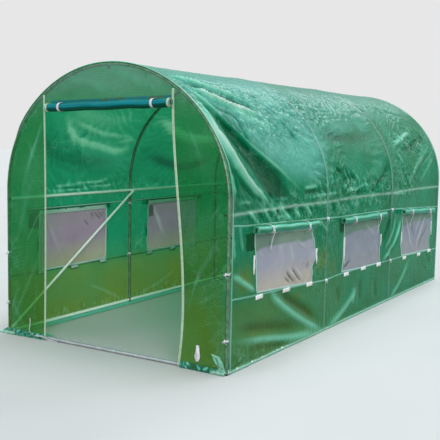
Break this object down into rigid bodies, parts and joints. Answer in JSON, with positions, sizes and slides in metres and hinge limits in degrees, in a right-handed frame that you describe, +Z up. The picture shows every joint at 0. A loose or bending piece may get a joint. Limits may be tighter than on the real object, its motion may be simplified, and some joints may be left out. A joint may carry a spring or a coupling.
{
  "type": "polytunnel greenhouse",
  "caption": "Walk-in tube-framed greenhouse tunnel with a green film cover, netted side windows under rolled flaps, and a roll-up zip door.",
  "frame": {"origin": "on the ground, at the middle of the overall width and length", "axes": "+Z up, +Y from the front door to the rear, +X to the right as seen from the front"},
  "size_m": [2.1196, 4.6021, 2.0547],
  "materials": {
    "steel_tube": "galvanised steel tube, dull silver grey",
    "black_plastic": "black moulded plugs",
    "green_film": "translucent green film reinforced with a fine grid, glossy on its folds",
    "window_net": "fine woven insect net, pale grey",
    "zip_tape": "cream zip tape with plastic teeth",
    "white_strap": "white woven strap",
    "hook_and_loop": "white hook and loop patches"
  },
  "bodies": {
    "root": {"crown_sheet": "green_film", "door_roll": "green_film", "door_roll_ties": "white_strap", "door_zips": "zip_tape", "end_ground_flaps": "green_film", "front_bow": "steel_tube", "front_ground_bar": "steel_tube", "front_left_leg": "steel_tube", "front_left_panel": "green_film", "front_right_leg": "steel_tube", "front_right_panel": "green_film", "front_top_panel": "green_film", "left_front_brace": "steel_tube", "left_ground_flap": "green_film", "left_ground_rail": "steel_tube", "left_lower_sheet": "green_film", "left_roof_sheet": "green_film", "left_side_rail": "steel_tube", "left_window_nets": "window_net", "left_window_rolls": "green_film", "left_window_strip": "green_film", "leg_feet": "black_plastic", "rail_end_plugs": "black_plastic", "rear_bow": "steel_tube", "rear_ground_bar": "steel_tube", "rear_left_leg": "steel_tube", "rear_panel": "green_film", "rear_right_leg": "steel_tube", "ridge_rail": "steel_tube", "right_ground_flap": "green_film", "right_ground_rail": "steel_tube", "right_lower_sheet": "green_film", "right_rear_brace": "steel_tube", "right_roof_sheet": "green_film", "right_side_rail": "steel_tube", "right_window_nets": "window_net", "right_window_rolls": "green_film", "right_window_strip": "green_film", "second_bow": "steel_tube", "second_left_leg": "steel_tube", "second_right_leg": "steel_tube", "third_bow": "steel_tube", "third_left_leg": "steel_tube", "third_right_leg": "steel_tube", "window_roll_ties": "white_strap", "window_tabs": "hook_and_loop"}
  },
  "joints": []
}
